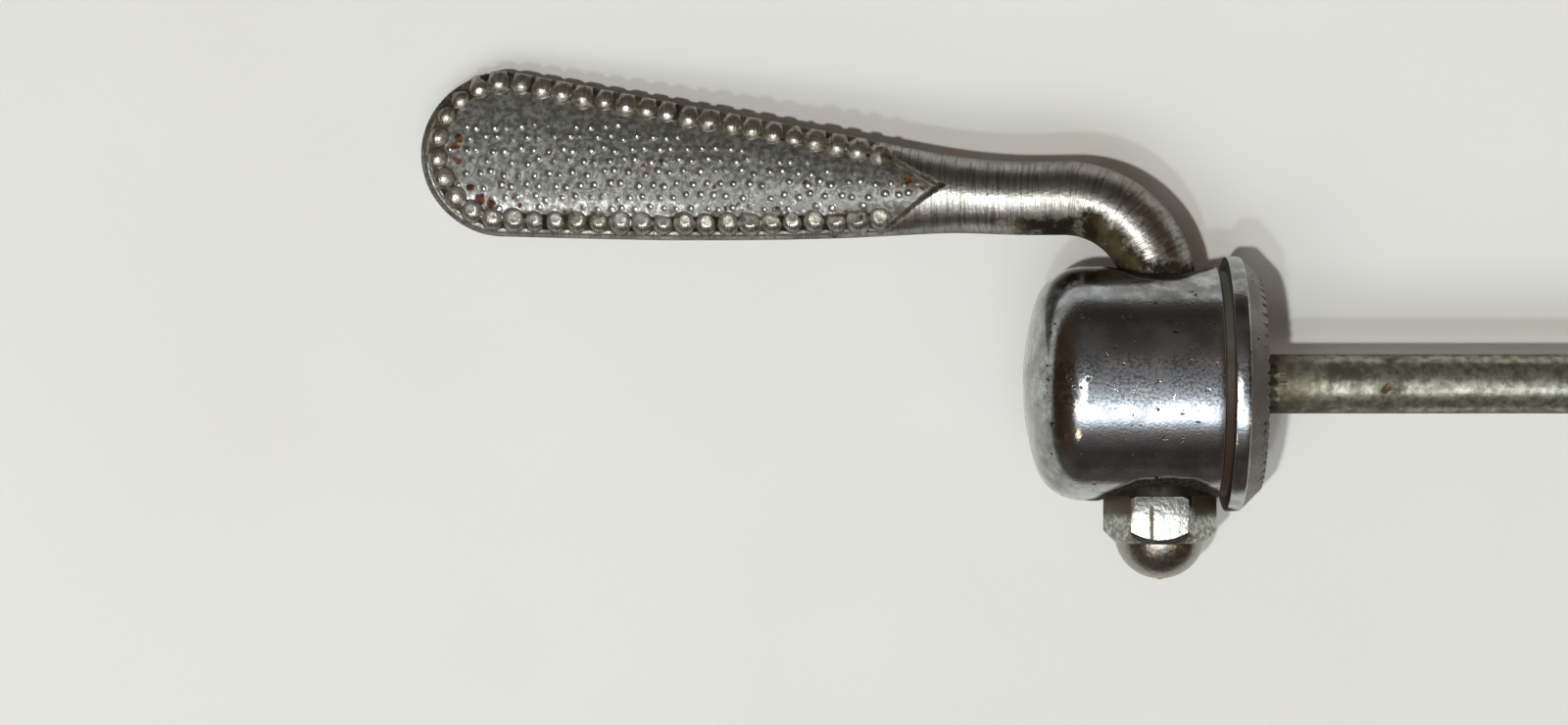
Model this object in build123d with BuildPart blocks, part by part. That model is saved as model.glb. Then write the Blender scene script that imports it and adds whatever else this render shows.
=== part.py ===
"""Quick release skewer for a bicycle wheel, lying on a table with its lever drooped to the surface.

The rod's axis is X. The housing's serrated clamp face is at X = 0 and the adjusting nut is towards +X.
Y points from the rod to the lever's arm, and Z is up. All sizes are in millimetres.
"""

import os
from math import asin, atan, atan2, cos, degrees, hypot, pi, radians, sin, sqrt, tan

from build123d import *

# Skewer rod: drawn M5 rod with a round head that holds the cam's eye
rod_diameter = 4.85
rod_end_stub = 1.5
rod_end_chamfer = 0.6
clamp_span = 110.0
head_clearance = 0.1
head_thickness = 5.2
eye_wall = 1.9
eye_side_gap = 0.3
eye_end_gap = 0.1
neck_diameter = 9.6
neck_length = 2.2

# Housing: one turned piece, with a barrel, a shallow domed end and a flange that bites the frame
housing_length = 19.24
barrel_diameter = 19.1
dome_radius = 22.5
shoulder_radius = 4.0
dome_steps = 2
shoulder_steps = 3
bore_diameter = 12.1
bore_end_gap = 0.4
shaft_setback = 8.08

# Clamp flange, alike on the housing and on the adjusting nut
flange_diameter = 20.8
flange_back = 2.84
flange_cone_length = 1.68
face_diameter = 17.4
groove_width = 0.7
groove_depth = 0.35
tooth_count = 56
tooth_depth = 0.42
tooth_inner_diameter = 13.6
tooth_half_angle = 42.0

# Lever shaft: two journals in the housing with the cam between them, then an M5 end for the nut
journal_diameter = 7.1
journal_top = 8.8
small_journal_diameter = 5.7
running_clearance = 0.05
cam_throw = 0.9
cam_step = 0.1
cam_side_gap = 0.15
thread_diameter = 4.9
thread_end = 13.2
hole_flare = 0.55

# Lever arm and paddle, forged in one with the shaft
arm_diameter = 6.04
arm_sides = 20
arm_offset = 15.2
bend_radius = 7.85
lever_reach = 61.35
tip_radius = 6.8
tip_offset = 19.1
paddle_taper = 11.0
belly_reach = 37.0
belly_offset = 11.9
paddle_start = 12.5
paddle_root = 8.5
neck_reach = 16.0
neck_fade_length = 10.0
neck_fade_diameter = 3.6
crest_at_neck = 2.9
crest_at_tip = 1.65
crown_at_neck = 3.0
crown_at_tip = 26.0
crown_facets = (-60, -40, -25, -15, -5, 5, 15, 25, 40, 60)

# Beaded border and the sunk stippled field on the paddle's upper face
bead_pitch = 1.83
bead_diameter = 1.6
bead_rise = 0.42
bead_top_diameter = 0.9
bead_root = 0.3
bead_sides = 6
bead_inset = 1.1
bead_start = 22.8
field_inset = 2.15
field_depth = 0.2
field_point = 18.2
field_point_offset = 16.5
field_shoulder = 21.8

# Acorn nut and its split lock washer, in a spot face on the far side of the housing
spot_diameter = 10.2
spot_distance = 7.95
shaft_shoulder_gap = 0.05
washer_thickness = 1.1
washer_diameter = 8.8
washer_bore = 5.1
washer_split = 0.8
nut_across_flats = 8.0
nut_hex_height = 3.9
nut_height = 6.8
nut_chamfer = 0.45
nut_dome_diameter = 7.1
nut_dome_steps = 3
nut_bore_depth = 5.2
thread_clearance = 0.05

# Adjusting nut and the conical spring that lies in its mouth
adjuster_length = 15.0
adjuster_grip_diameter = 16.4
adjuster_end_diameter = 12.6
adjuster_flats = 11.0
adjuster_mouth_depth = 3.4
adjuster_mouth_wall = 0.8
spring_wire = 1.0
spring_sides = 5
spring_turns = 3.5
spring_runs_per_turn = 16
spring_length = 12.0
spring_rod_gap = 0.15
spring_mouth_gap = 0.35
spring_seat_gap = 0.1

rod_radius = rod_diameter / 2
barrel_radius = barrel_diameter / 2
bore_radius = bore_diameter / 2
flange_radius = flange_diameter / 2
face_radius = face_diameter / 2
arm_radius = arm_diameter / 2
journal_radius = journal_diameter / 2
cam_radius = journal_radius - cam_throw - cam_step
shaft_x = -shaft_setback


def arc_points(centre, radius, start, stop, steps):
    """Points along an arc of a turned profile, by angle in radians, for a round stretch cut as short cones."""
    angles = [start + (stop - start) * step / steps for step in range(steps + 1)]
    return [(centre[0] + radius * cos(angle), centre[1] + radius * sin(angle)) for angle in angles]


def up_axis_plane(distance):
    """A plane across the lever shaft, facing +Y, at this distance from the rod's axis."""
    return Plane(origin=(shaft_x, distance, 0), x_dir=(1, 0, 0), z_dir=(0, 1, 0))


# The paddle's upper and lower edges, seen from above, at a distance from the shaft's axis
tip_centre = lever_reach - tip_radius
taper_slope = tan(radians(paddle_taper))


def upper_edge(reach, inset=0.0):
    """The offset of the straight tapered edge from the rod's axis."""
    rim = (tip_radius - inset) / cos(radians(paddle_taper))
    return tip_offset + rim - (tip_centre - reach) * taper_slope


def lower_edge(reach, inset=0.0):
    """The offset of the nearly straight edge, which bows towards the housing between neck and tip."""
    lift = tip_offset - tip_radius - belly_offset
    bow = (reach - belly_reach) / (tip_centre - belly_reach)
    return belly_offset + lift * bow**2 + inset


def border_points(reach, inset):
    """Points on the paddle's border at an inset: lower edge, belly, tip and upper edge, from a reach on."""
    radius = tip_radius - inset
    middle = (reach + tip_centre) / 2
    start = (-reach, lower_edge(reach, inset))
    belly = (-middle, lower_edge(middle, inset))
    tip_low = (-tip_centre, tip_offset - radius)
    tip_end = (-tip_centre - radius, tip_offset)
    leaning = radians(paddle_taper)
    tip_high = (-tip_centre + radius * sin(leaning), tip_offset + radius * cos(leaning))
    end = (-reach, upper_edge(reach, inset))
    return start, belly, tip_low, tip_end, tip_high, end


# The crowned faces of the paddle are cut as long flats that touch a cone with its crest from neck to tip
neck_crest = Vector(-neck_reach, arm_offset, crest_at_neck)
tip_crest = Vector(-lever_reach, tip_offset, crest_at_tip)
crest_run = (tip_crest - neck_crest).length
crest_direction = (tip_crest - neck_crest).normalized()
crown_angle = atan((crown_at_tip - crown_at_neck) / crest_run)
crown_apex = neck_crest - crest_direction * (crown_at_neck / tan(crown_angle))
crest_normal = (Vector(0, 0, 1) - crest_direction * crest_direction.Z).normalized()
crown_axis = crest_direction * cos(crown_angle) - crest_normal * sin(crown_angle)
crown_up = crest_direction * sin(crown_angle) + crest_normal * cos(crown_angle)
crown_across = crown_axis.cross(crown_up)


def facet_normal(turn):
    """The outward normal of the flat that touches the cone at this turn from its crest, in degrees."""
    outward = crown_up * cos(radians(turn)) + crown_across * sin(radians(turn))
    return outward * cos(crown_angle) - crown_axis * sin(crown_angle)


def facet_height(normal, x, y):
    """The height of one flat of the upper crowned face over a point of the paddle's plan."""
    return crown_apex.Z - (normal.X * (x - crown_apex.X) + normal.Y * (y - crown_apex.Y)) / normal.Z


facet_normals = [facet_normal(turn) for turn in crown_facets]


def crown_plane(x, y):
    """A plane that lies on the upper crowned face at a point of the plan, facing out of the metal."""
    normal = min(facet_normals, key=lambda facet: facet_height(facet, x, y))
    return Plane(origin=(x, y, facet_height(normal, x, y)), z_dir=normal)


os.makedirs("parts", exist_ok=True)

# One V groove of the clamp face's serration, running deeper towards the rim
tooth_inner_radius = tooth_inner_diameter / 2
groove_lean = atan(tooth_depth / (face_radius - tooth_inner_radius))
groove_height = 3 * tooth_depth
groove_half_width = groove_height * tan(radians(tooth_half_angle))
groove_plane = Plane(
    origin=(0, tooth_inner_radius, 0),
    x_dir=(0, 0, 1),
    z_dir=(-sin(groove_lean), cos(groove_lean), 0),
)
with BuildPart() as groove:
    with BuildSketch(groove_plane):
        with BuildLine():
            Polyline(
                (0, 0),
                (groove_half_width, groove_height),
                (-groove_half_width, groove_height),
                close=True,
            )
        make_face()
    extrude(amount=flange_radius - tooth_inner_radius)

# Clamp flange: one flat to each tooth, so that every groove ends on a corner
tooth_turns = [Location((0, 0, 0), (360 * tooth / tooth_count, 0, 0)) for tooth in range(tooth_count)]
flange_cone_angle = degrees(atan((flange_radius - face_radius) * cos(pi / tooth_count) / flange_cone_length))
with BuildPart() as flange:
    with BuildSketch(Plane.YZ.offset(-flange_back)):
        RegularPolygon(flange_radius, tooth_count)
    extrude(amount=flange_back - flange_cone_length)
    with BuildSketch(Plane.YZ.offset(-flange_cone_length)):
        RegularPolygon(flange_radius, tooth_count)
    extrude(amount=flange_cone_length, taper=flange_cone_angle)
    with Locations(*tooth_turns):
        add(groove.part, mode=Mode.SUBTRACT)
    with BuildSketch(Plane.YZ):
        Circle(bore_radius)
    extrude(amount=-flange_back, mode=Mode.SUBTRACT)


# Housing
eye_half_width = cam_radius + eye_side_gap
head_half_length = eye_half_width + eye_wall
bore_end = shaft_x - head_half_length - cam_throw - bore_end_gap
dome_centre = (dome_radius - housing_length, 0)
shoulder_height = barrel_radius - shoulder_radius
shoulder_run = sqrt((dome_radius - shoulder_radius) ** 2 - shoulder_height**2)
shoulder_centre = (dome_centre[0] - shoulder_run, shoulder_height)
shoulder_lean = pi - atan2(shoulder_height, shoulder_run)
shoulder_arc = arc_points(shoulder_centre, shoulder_radius, pi / 2, shoulder_lean, shoulder_steps)
dome_arc = arc_points(dome_centre, dome_radius, shoulder_lean, pi, dome_steps)
groove_radius = barrel_radius - groove_depth
hole_radius = journal_radius + running_clearance
small_hole_radius = small_journal_diameter / 2 + running_clearance
with BuildPart() as housing:
    with BuildSketch():
        with BuildLine():
            Polyline(
                (bore_end, 0),
                (bore_end, bore_radius),
                (-flange_back, bore_radius),
                (-flange_back, groove_radius),
                (-flange_back - groove_width, groove_radius),
                (-flange_back - groove_width, barrel_radius),
                *shoulder_arc,
                *dome_arc[1:],
                close=True,
            )
        make_face()
    revolve(axis=Axis.X)
    add(flange.part)
    with BuildSketch(up_axis_plane(0)):
        Circle(hole_radius)
    extrude(amount=flange_radius, mode=Mode.SUBTRACT)
    with BuildSketch(up_axis_plane(barrel_radius - hole_flare)):
        Circle(hole_radius)
    extrude(amount=2 * hole_flare, taper=-45, mode=Mode.SUBTRACT)
    with BuildSketch(up_axis_plane(-flange_radius)):
        Circle(small_hole_radius)
    extrude(amount=flange_radius, mode=Mode.SUBTRACT)
    with BuildSketch(up_axis_plane(-flange_radius)):
        Circle(spot_diameter / 2)
    extrude(amount=flange_radius - spot_distance, mode=Mode.SUBTRACT)

housing.part.label = "housing"
export_step(housing.part, "parts/housing.step")

# The lever droops about its shaft until the lower edge of the paddle's tip meets the table
tip_depth = crown_plane(-lever_reach, tip_offset).origin.Z
droop = asin(flange_radius / hypot(lever_reach, tip_depth)) - atan2(tip_depth, lever_reach)

# Skewer rod: its eye stands where the straight-line motion has it when the lever is at rest
eye_x = shaft_x + 2 * cam_throw * droop / pi
eye_half_height = cam_radius + cam_throw + eye_end_gap
head_radius = bore_radius - head_clearance
head_front = eye_x + head_half_length
rod_end = clamp_span + adjuster_length + rod_end_stub
with BuildPart() as skewer_rod:
    with BuildSketch():
        with BuildLine():
            Polyline(
                (eye_x - head_half_length, 0),
                (eye_x - head_half_length, neck_diameter / 2),
                (eye_x - eye_half_width, head_radius),
                (eye_x + eye_half_width, head_radius),
                (head_front, neck_diameter / 2),
                (head_front + neck_length, rod_radius),
                (rod_end - rod_end_chamfer, rod_radius),
                (rod_end, rod_radius - rod_end_chamfer),
                (rod_end, 0),
                close=True,
            )
        make_face()
    revolve(axis=Axis.X)
    with BuildSketch(Plane.XZ) as eye:
        with Locations((eye_x, 0)):
            SlotOverall(2 * eye_half_height, 2 * eye_half_width, rotation=90)
    extrude(amount=bore_radius, both=True, mode=Mode.SUBTRACT)
    for side in (-1, 1):
        with Locations((eye_x, side * (head_thickness + bore_radius) / 2, 0)):
            Box(2 * (head_half_length + neck_length), bore_radius, 2 * bore_radius, mode=Mode.SUBTRACT)

skewer_rod.part.label = "skewer_rod"
export_step(skewer_rod.part, "parts/skewer_rod.step")

# Bead of the paddle's border: a faceted dome on a short root that stands in the metal
bead_taper = degrees(atan((bead_diameter - bead_top_diameter) * cos(pi / bead_sides) / 2 / bead_rise))
with BuildPart() as bead:
    with BuildSketch():
        RegularPolygon(bead_diameter / 2, bead_sides)
    extrude(amount=-bead_root)
    with BuildSketch():
        RegularPolygon(bead_diameter / 2, bead_sides)
    extrude(amount=bead_rise, taper=bead_taper)

start, belly, tip_low, tip_end, tip_high, end = border_points(bead_start, bead_inset)
with BuildLine() as bead_line:
    ThreePointArc(start, belly, tip_low)
    ThreePointArc(tip_low, tip_end, tip_high)
    Line(tip_high, end)
bead_wire = bead_line.wires()[0]
bead_count = round(bead_wire.length / bead_pitch) + 1
bead_points = [bead_wire.position_at(bead / (bead_count - 1)) for bead in range(bead_count)]

# Everything under the upper crowned face
with BuildPart() as crown:
    Box(4 * lever_reach, 4 * lever_reach, 4 * arm_diameter)
    for normal in facet_normals:
        split(bisect_by=Plane(origin=crown_apex, z_dir=normal), keep=Keep.BOTTOM)

# Sunk field of the upper face: everything over the sunk crown, inside the beads, pointed towards the arm
start, belly, tip_low, tip_end, tip_high, end = border_points(field_shoulder, field_inset)
with BuildPart() as field:
    with BuildSketch():
        with BuildLine():
            ThreePointArc(start, belly, tip_low)
            ThreePointArc(tip_low, tip_end, tip_high)
            Polyline(tip_high, end, (-field_point, field_point_offset), start)
        make_face()
    extrude(amount=arm_diameter)
    with Locations((0, 0, -field_depth)):
        add(crown.part, mode=Mode.SUBTRACT)

# Paddle: its plan between the two crowned faces
start, belly, tip_low, tip_end, tip_high, end = border_points(paddle_start, 0)
arm_edge = arm_offset + arm_radius
shoulder_reach = -tip_high[0] - (tip_high[1] - arm_edge) / taper_slope
with BuildPart() as paddle:
    with BuildSketch():
        with BuildLine():
            Polyline(start, (-paddle_root, arm_edge), (-shoulder_reach, arm_edge), tip_high)
            ThreePointArc(tip_high, tip_end, tip_low)
            ThreePointArc(tip_low, belly, start)
        make_face()
    extrude(amount=arm_radius)
    add(crown.part, mode=Mode.INTERSECT)
    mirror(about=Plane.XY)

shaft_steps = [
    (journal_radius, 0, head_thickness / 2 + cam_side_gap, journal_top),
    (cam_radius, cam_throw, -head_thickness / 2 - cam_side_gap, head_thickness / 2 + cam_side_gap),
    (small_journal_diameter / 2, 0, -spot_distance - shaft_shoulder_gap, -head_thickness / 2 - cam_side_gap),
    (thread_diameter / 2, 0, -thread_end, -spot_distance - shaft_shoulder_gap),
]
with BuildPart() as flat_lever:
    add(paddle.part)
    with BuildSketch(Plane.YZ.offset(-bend_radius)) as arm_section:
        with Locations((arm_offset, 0)):
            RegularPolygon(arm_radius, arm_sides)
    extrude(amount=bend_radius - neck_reach)
    for reach, radius in ((neck_reach, arm_radius), (neck_reach + neck_fade_length, neck_fade_diameter / 2)):
        with BuildSketch(Plane.YZ.offset(-reach)):
            with Locations((arm_offset, 0)):
                RegularPolygon(radius, arm_sides)
    loft(ruled=True)
    bend_axis = Axis((-bend_radius, arm_offset - bend_radius, 0), (0, 0, -1))
    revolve(arm_section.sketch, axis=bend_axis, revolution_arc=90)
    for radius, drop, low, high in shaft_steps:
        with BuildSketch(Plane(origin=(0, low, -drop), x_dir=(1, 0, 0), z_dir=(0, 1, 0))):
            Circle(radius)
        extrude(amount=high - low)
    add(field.part, mode=Mode.SUBTRACT)
    with Locations(*[crown_plane(point.X, point.Y) for point in bead_points]):
        add(bead.part)

with BuildPart() as lever:
    with Locations(Location((shaft_x, 0, 0), (0, -degrees(droop), 0))):
        add(flat_lever.part)

lever.part.label = "lever"
export_step(lever.part, "parts/lever.step")

# Split lock washer, clamped between the shaft's shoulder and the acorn nut
washer_face = spot_distance + shaft_shoulder_gap
with BuildPart() as lock_washer:
    with BuildSketch(up_axis_plane(-washer_face - washer_thickness)):
        Circle(washer_diameter / 2)
        Circle(washer_bore / 2, mode=Mode.SUBTRACT)
        with Locations((-washer_diameter / 2, 0)):
            Rectangle(washer_diameter, washer_split, mode=Mode.SUBTRACT)
    extrude(amount=washer_thickness)

lock_washer.part.label = "lock_washer"
export_step(lock_washer.part, "parts/lock_washer.step")

# Acorn nut: hexagon with its outer end chamfered, and a dome over the end of the thread
nut_face = washer_face + washer_thickness
nut_corner = nut_across_flats / sqrt(3)
nut_dome_radius = nut_dome_diameter / 2
dome_base = nut_height - nut_dome_radius
nut_profile_plane = Plane(origin=(shaft_x, -nut_face, 0), x_dir=(1, 0, 0), z_dir=(0, 0, -1))
nut_axis = Axis((shaft_x, -nut_face, 0), (0, -1, 0))
with BuildPart() as acorn_nut:
    with BuildSketch(nut_profile_plane):
        with BuildLine():
            Polyline(
                (0, 0),
                (nut_corner, 0),
                (nut_corner, nut_hex_height - nut_chamfer),
                (nut_dome_radius, nut_hex_height),
                *arc_points((0, dome_base), nut_dome_radius, 0, pi / 2, nut_dome_steps),
                close=True,
            )
        make_face()
    revolve(axis=nut_axis)
    with BuildSketch(up_axis_plane(-nut_face)):
        RegularPolygon(nut_across_flats / 2, 6, major_radius=False)
    extrude(amount=-nut_height, mode=Mode.INTERSECT)
    with BuildSketch(up_axis_plane(-nut_face)):
        Circle(thread_diameter / 2 + thread_clearance)
    extrude(amount=-nut_bore_depth, mode=Mode.SUBTRACT)

acorn_nut.part.label = "acorn_nut"
export_step(acorn_nut.part, "parts/acorn_nut.step")

# Adjusting nut: the same clamp flange, a tapered grip with two finger flats
adjuster_bore = rod_radius + thread_clearance
adjuster_end = clamp_span + adjuster_length
mouth_floor = clamp_span + adjuster_mouth_depth
with BuildPart() as adjusting_nut:
    with BuildSketch():
        with BuildLine():
            Polyline(
                (clamp_span + flange_back, bore_radius),
                (clamp_span + flange_back, adjuster_grip_diameter / 2),
                (adjuster_end, adjuster_end_diameter / 2),
                (adjuster_end, adjuster_bore),
                (mouth_floor, adjuster_bore),
                (mouth_floor, bore_radius),
                close=True,
            )
        make_face()
    revolve(axis=Axis.X)
    flat_length = adjuster_end - mouth_floor - adjuster_mouth_wall
    for side in (-1, 1):
        with Locations((adjuster_end - flat_length / 2, 0, side * (adjuster_flats + flange_radius) / 2)):
            Box(flat_length, flange_diameter, flange_radius, mode=Mode.SUBTRACT)
    with Locations(Location((clamp_span, 0, 0), (0, 0, 180))):
        add(flange.part)

adjusting_nut.part.label = "adjusting_nut"
export_step(adjusting_nut.part, "parts/adjusting_nut.step")

# Conical spring: its wide end lies in the adjusting nut's mouth and its narrow end runs on the rod
spring_small_radius = rod_radius + spring_rod_gap + spring_wire / 2
spring_large_radius = bore_radius - spring_mouth_gap - spring_wire / 2
spring_end = mouth_floor - spring_seat_gap - spring_wire / 2
spring_start = spring_end - spring_length
spring_runs = round(spring_turns * spring_runs_per_turn)


def coil_point(run):
    """A point on the coil's conical helix, at the end of one of its short runs."""
    share = run / spring_runs
    radius = spring_small_radius + (spring_large_radius - spring_small_radius) * share
    turn = 2 * pi * run / spring_runs_per_turn
    return spring_start + spring_length * share, radius * cos(turn), radius * sin(turn)


with BuildPart() as nut_spring:
    with BuildLine() as coil:
        Polyline(*[coil_point(run) for run in range(spring_runs + 1)])
    with BuildSketch(Plane(origin=coil.line @ 0, z_dir=coil.line % 0)):
        RegularPolygon(spring_wire / 2, spring_sides)
    sweep(transition=Transition.RIGHT)

nut_spring.part.label = "nut_spring"
export_step(nut_spring.part, "parts/nut_spring.step")
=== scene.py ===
"""A worn quick release skewer lying on pale paper, seen from straight above."""

from math import cos, hypot, pi, radians, sin, tan

import bpy
import numpy as np
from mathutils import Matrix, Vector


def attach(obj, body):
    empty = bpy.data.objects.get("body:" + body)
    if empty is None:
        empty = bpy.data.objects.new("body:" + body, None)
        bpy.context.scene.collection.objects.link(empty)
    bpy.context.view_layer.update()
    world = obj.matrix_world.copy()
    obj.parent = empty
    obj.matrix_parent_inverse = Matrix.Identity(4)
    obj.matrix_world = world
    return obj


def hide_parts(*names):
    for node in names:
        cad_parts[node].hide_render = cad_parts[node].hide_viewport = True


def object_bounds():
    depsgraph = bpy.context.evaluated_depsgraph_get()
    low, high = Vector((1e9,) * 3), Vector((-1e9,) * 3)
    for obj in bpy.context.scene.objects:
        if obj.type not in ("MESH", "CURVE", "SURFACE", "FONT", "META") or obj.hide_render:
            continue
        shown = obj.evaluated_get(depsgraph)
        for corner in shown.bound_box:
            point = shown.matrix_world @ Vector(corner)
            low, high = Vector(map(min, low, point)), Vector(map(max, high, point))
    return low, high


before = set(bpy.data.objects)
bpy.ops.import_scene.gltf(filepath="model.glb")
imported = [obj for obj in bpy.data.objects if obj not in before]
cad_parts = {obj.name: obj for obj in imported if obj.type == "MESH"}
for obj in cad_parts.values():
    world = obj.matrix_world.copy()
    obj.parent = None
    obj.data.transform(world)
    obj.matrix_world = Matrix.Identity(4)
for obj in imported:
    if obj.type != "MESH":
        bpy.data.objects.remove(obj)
cad_low, cad_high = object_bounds()

# Paper: a sheet of pale matt paper fills the view and takes the skewer's shadow.
# It is a single flat sheet, and it isn't part of the object.
# In mirror-like metal its far side shows dark: a painted reflection of a dark table, seen only in
# reflections.


def add_node(tree, kind, sockets=None, **settings):
    """Adds a shader node with its settings, its constants and its links."""
    node = tree.nodes.new(kind)
    for key, value in settings.items():
        setattr(node, key, value)
    for key, value in (sockets or {}).items():
        if isinstance(value, bpy.types.NodeSocket):
            tree.links.new(value, node.inputs[key])
        else:
            node.inputs[key].default_value = value
    return node


def new_finish(name):
    """A material with an empty node tree."""
    material = bpy.data.materials.new(name)
    material.use_nodes = True
    material.node_tree.nodes.clear()
    return material, material.node_tree


def noise(tree, vector, scale, detail=3.0, roughness=0.55):
    """A noise pattern with so many features to the vector's unit."""
    sockets = {"Vector": vector, "Scale": scale, "Detail": detail, "Roughness": roughness}
    return add_node(tree, "ShaderNodeTexNoise", sockets).outputs["Fac"]


def ramp(tree, value, low, high, to_low=0.0, to_high=1.0):
    """Maps a value smoothly from one range to another and holds it there."""
    sockets = {"Value": value, "From Min": low, "From Max": high, "To Min": to_low, "To Max": to_high}
    return add_node(tree, "ShaderNodeMapRange", sockets, interpolation_type="SMOOTHSTEP").outputs["Result"]


def mixed(tree, share, first, second):
    """Mixes two colours."""
    return add_node(tree, "ShaderNodeMix", {0: share, 6: first, 7: second}, data_type="RGBA").outputs[2]


def calc(tree, operation, first, second=0.0):
    """One sum with one or two values."""
    return add_node(tree, "ShaderNodeMath", {0: first, 1: second}, operation=operation).outputs[0]


def times(tree, first, second):
    """The product of two values."""
    return calc(tree, "MULTIPLY", first, second)


sheet_size = 3.0
table_reflection_start, table_reflection_end = -0.030, -0.050
bpy.ops.object.select_all(action="DESELECT")
bpy.ops.mesh.primitive_plane_add(size=sheet_size, location=(0, 0, cad_low[2]))
paper = bpy.context.object
paper.name = "paper"
bpy.ops.object.transform_apply(location=True, rotation=True, scale=True)
paper_finish, tree = new_finish("pale_paper")
place = add_node(tree, "ShaderNodeTexCoord").outputs["Object"]
cloud = noise(tree, place, 14.0, 3.0)
tint = mixed(tree, ramp(tree, cloud, 0.35, 0.65), (0.80, 0.80, 0.785, 1), (0.77, 0.77, 0.752, 1))
depth = add_node(tree, "ShaderNodeSeparateXYZ", {0: place}).outputs[1]
# Painted reflection: only reflections see the paper turn dark beyond a line, as if a dark table stood there.
mirrored = add_node(tree, "ShaderNodeLightPath").outputs["Is Glossy Ray"]
painted_table_reflection = times(tree, mirrored, ramp(tree, depth, table_reflection_start, table_reflection_end))
tint = mixed(tree, painted_table_reflection, tint, (0.075, 0.055, 0.042, 1))
shader = add_node(tree, "ShaderNodeBsdfPrincipled", {"Base Color": tint, "Roughness": 0.85})
add_node(tree, "ShaderNodeOutputMaterial", {"Surface": shader.outputs["BSDF"]})
paper.data.materials.append(paper_finish)

# Light and camera: a small lamp almost overhead gives the short dark shadow. A second lamp and a long
# window, both nearer to the viewer, give the soft one. The room round them is dim and warm, and the
# camera looks straight down.


def plus(tree, first, second):
    """The sum of two values."""
    return calc(tree, "ADD", first, second)


def vector_calc(tree, operation, first, second):
    """One sum with two vectors. It gives a vector, or a value for a distance or a dot product."""
    node = add_node(tree, "ShaderNodeVectorMath", {0: first, 1: second}, operation=operation)
    return node.outputs["Value" if operation in ("DISTANCE", "DOT_PRODUCT") else "Vector"]


scene = bpy.context.scene
scene.view_settings.view_transform = "Standard"
world = bpy.data.worlds.new("room")
scene.world = world
world.use_nodes = True
tree = world.node_tree
tree.nodes.clear()
ray = add_node(tree, "ShaderNodeTexCoord").outputs["Generated"]
parts = add_node(tree, "ShaderNodeSeparateXYZ", {0: ray}).outputs
lean = calc(tree, "ARCTAN2", times(tree, parts[1], -1.0), parts[2])
turn = add_node(tree, "ShaderNodeMapRange", {"Value": lean, "From Min": -pi, "From Max": pi})
sky = add_node(tree, "ShaderNodeValToRGB", {"Fac": turn.outputs["Result"]})
# Degrees from straight up towards the viewer, and how bright the room is there
sky_steps = (
    (-110, 0.16), (-86, 0.14), (-78, 0.060), (-68, 0.045), (-57, 0.085), (-40, 0.12), (-28, 0.16),
    (-20, 0.28), (-8, 0.33), (0, 0.45), (8, 0.75), (15, 1.20), (18.5, 1.80), (20, 4.00), (34, 4.00),
    (38, 1.40), (45, 0.40), (53, 0.21), (61, 0.13), (70, 0.055), (79, 0.085), (90, 0.07), (110, 0.12),
)
full_strength = 6
sky.color_ramp.elements.remove(sky.color_ramp.elements[1])
for index, (degrees_over, strength) in enumerate(sky_steps):
    position = (degrees_over / 180 + 1) / 2
    if index == 0:
        element = sky.color_ramp.elements[0]
        element.position = position
    else:
        element = sky.color_ramp.elements.new(position)
    warm = 1.0 if strength < 0.3 else 0.5 if strength < 1 else 0.0
    level = strength / full_strength
    element.color = (level * (0.94 + 0.06 * warm), level * (1 - 0.12 * warm), level * (1.05 - 0.25 * warm), 1)
# The bright band ends a little way to either side, and the room is dark beyond it
endwise = ramp(tree, calc(tree, "ABSOLUTE", plus(tree, parts[0], 0.12)), 0.27, 0.44)
room_side = mixed(tree, endwise, sky.outputs["Color"], (0.0175, 0.0106, 0.0068, 1))
# Three small warm lamps of the room, in degrees to the side and towards the viewer
for aside, over in ((-29, 25), (-30, 52), (33, 34)):
    toward = np.array([tan(radians(aside)), -tan(radians(over)), 1.0])
    toward = tuple(toward / np.linalg.norm(toward))
    facing = vector_calc(tree, "DOT_PRODUCT", ray, toward)
    lit = ramp(tree, facing, cos(radians(3.4)), cos(radians(2.0)))
    room_side = mixed(tree, lit, room_side, (2.1, 1.5, 1.0, 1))
background = add_node(tree, "ShaderNodeBackground", {"Color": room_side, "Strength": 5.2})
add_node(tree, "ShaderNodeOutputWorld", {"Surface": background.outputs[0]})
# Place in metres, size, power and colour of the two lamps that throw shadows
lamps = (
    ((-0.245, -0.110, 1.20), 0.034, 7.1, (0.97, 0.98, 0.93)),
    ((-0.230, -0.345, 1.20), 0.050, 2.2, (0.88, 1.0, 1.0)),
)
for position, size, energy, colour in lamps:
    bpy.ops.object.light_add(type="AREA", location=position)
    lamp = bpy.context.object
    lamp.data.shape = "DISK"
    lamp.data.size = size
    lamp.data.energy = energy
    lamp.data.color = colour

mm = 0.001
eye_x, eye_y, eye_height = -38.76, 1.74, 365
bpy.ops.object.camera_add(location=(eye_x * mm, eye_y * mm, eye_height * mm), rotation=(0, 0, 0))
scene.camera = bpy.context.object
scene.camera.data.lens = 102.65
scene.camera.data.sensor_width = 36

# Housing: one piece turned from steel bar and chromed, with a barrel, a shallow domed end and a clamp flange.
# The flange's cone is cut into teeth that bite the frame end. The lever's shaft goes through it crosswise.


def only(piece):
    """Selects one object and makes it the active one."""
    bpy.ops.object.select_all(action="DESELECT")
    piece.select_set(True)
    bpy.context.view_layer.objects.active = piece


def placed(name, data):
    """Puts a mesh or a curve into the scene and selects it."""
    piece = bpy.data.objects.new(name, data)
    bpy.context.collection.objects.link(piece)
    only(piece)
    return piece


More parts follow.
